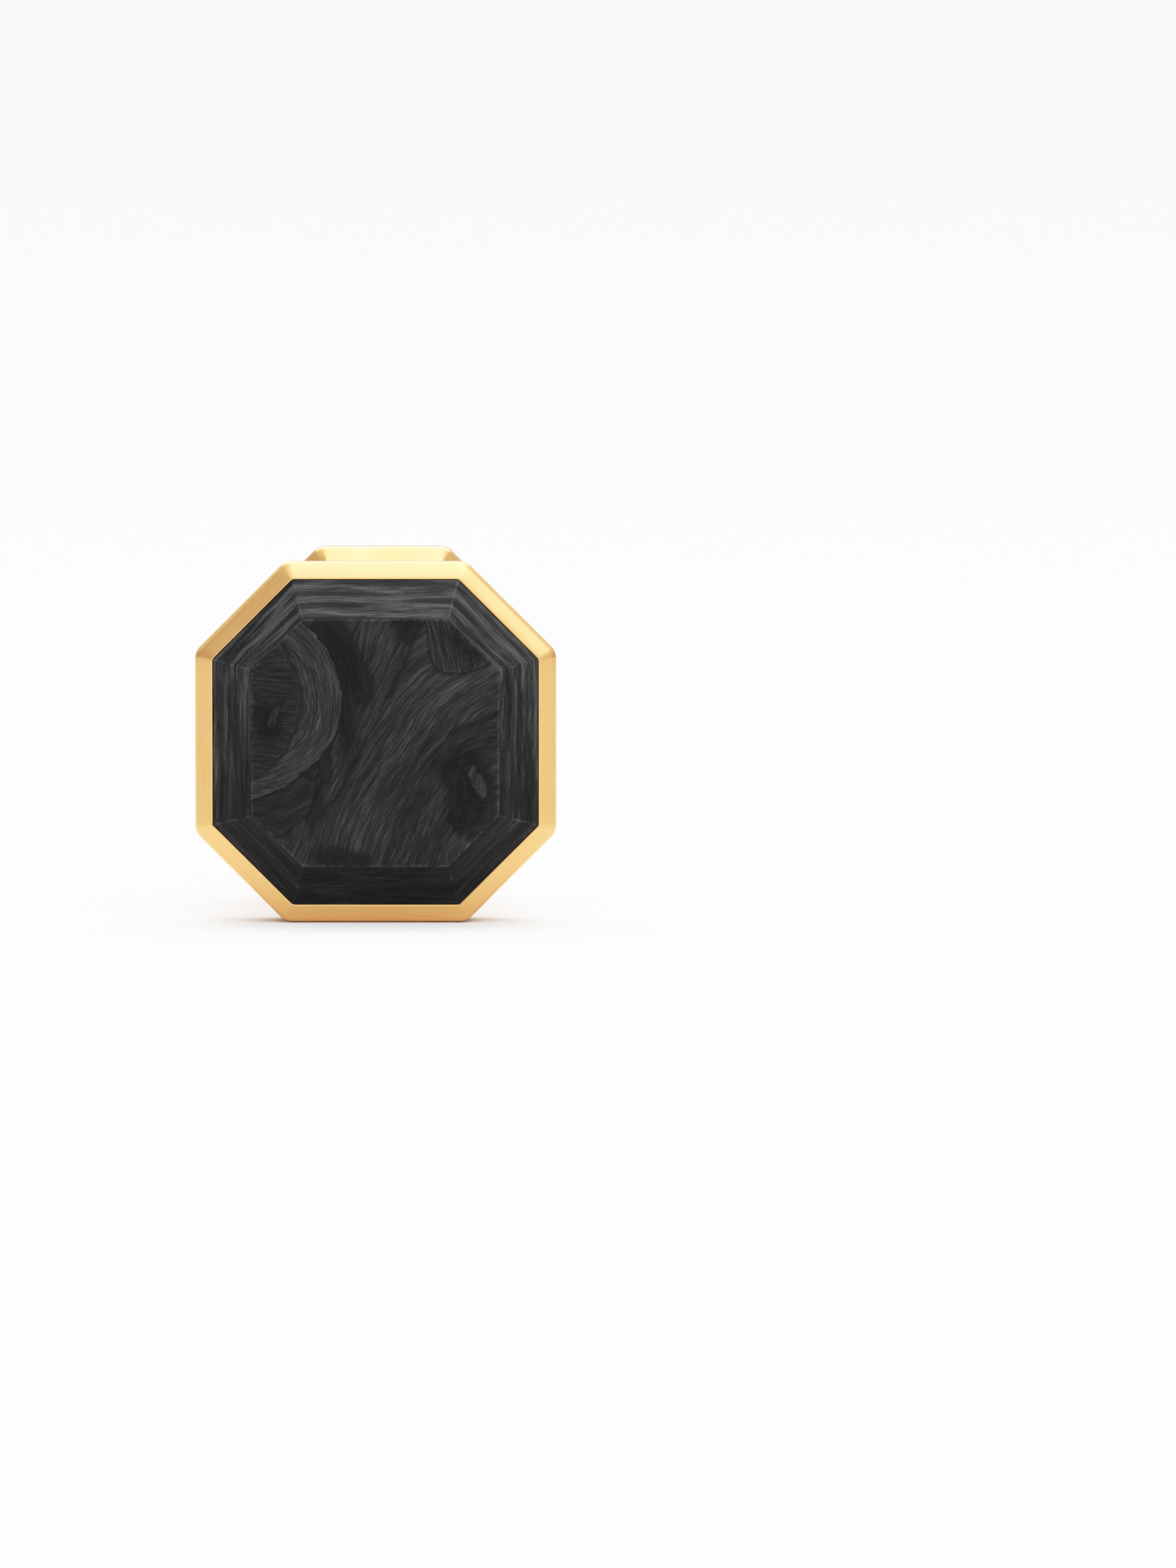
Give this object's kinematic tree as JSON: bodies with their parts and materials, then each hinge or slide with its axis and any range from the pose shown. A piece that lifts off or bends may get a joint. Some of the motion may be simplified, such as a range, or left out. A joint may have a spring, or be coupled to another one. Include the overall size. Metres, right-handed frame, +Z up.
{
  "type": "cufflink",
  "caption": "Octagonal cufflink: faceted forged-carbon inlay in a gold-coloured case, forked post, and a sprung toggle that folds in line with the post to pass a buttonhole.",
  "frame": {"origin": "under the middle of the part's box, on the surface it stands on", "axes": "+Z up as it stands on its lower flat, -Y the way the face looks, +X to the right of the face seen from the front"},
  "size_m": [0.018, 0.0214, 0.018],
  "materials": {
    "case_gold": "satin band, polished edges",
    "fitting_gold": "polished",
    "forged_carbon": "satin, swirled fibre",
    "adhesive": "clear, dark",
    "spring_steel": "bright"
  },
  "bodies": {
    "face": {"case_frame": "case_gold", "back_plate": "case_gold", "carbon_inlay": "forged_carbon", "inlay_film": "adhesive", "post": "fitting_gold", "leaf_spring": "spring_steel", "spring_rivet": "fitting_gold", "hinge_rivet": "fitting_gold"},
    "toggle": {"toggle_shell": "fitting_gold", "toggle_plate": "fitting_gold", "toggle_knuckle": "fitting_gold"}
  },
  "joints": [
    {"name": "toggle_swivel", "type": "hinge", "parent": "face", "child": "toggle", "pos_m": [0, 0.00502, 0.009], "axis": [1, 0, 0], "range_deg": [0, 90], "deforming": ["leaf_spring"]}
  ]
}
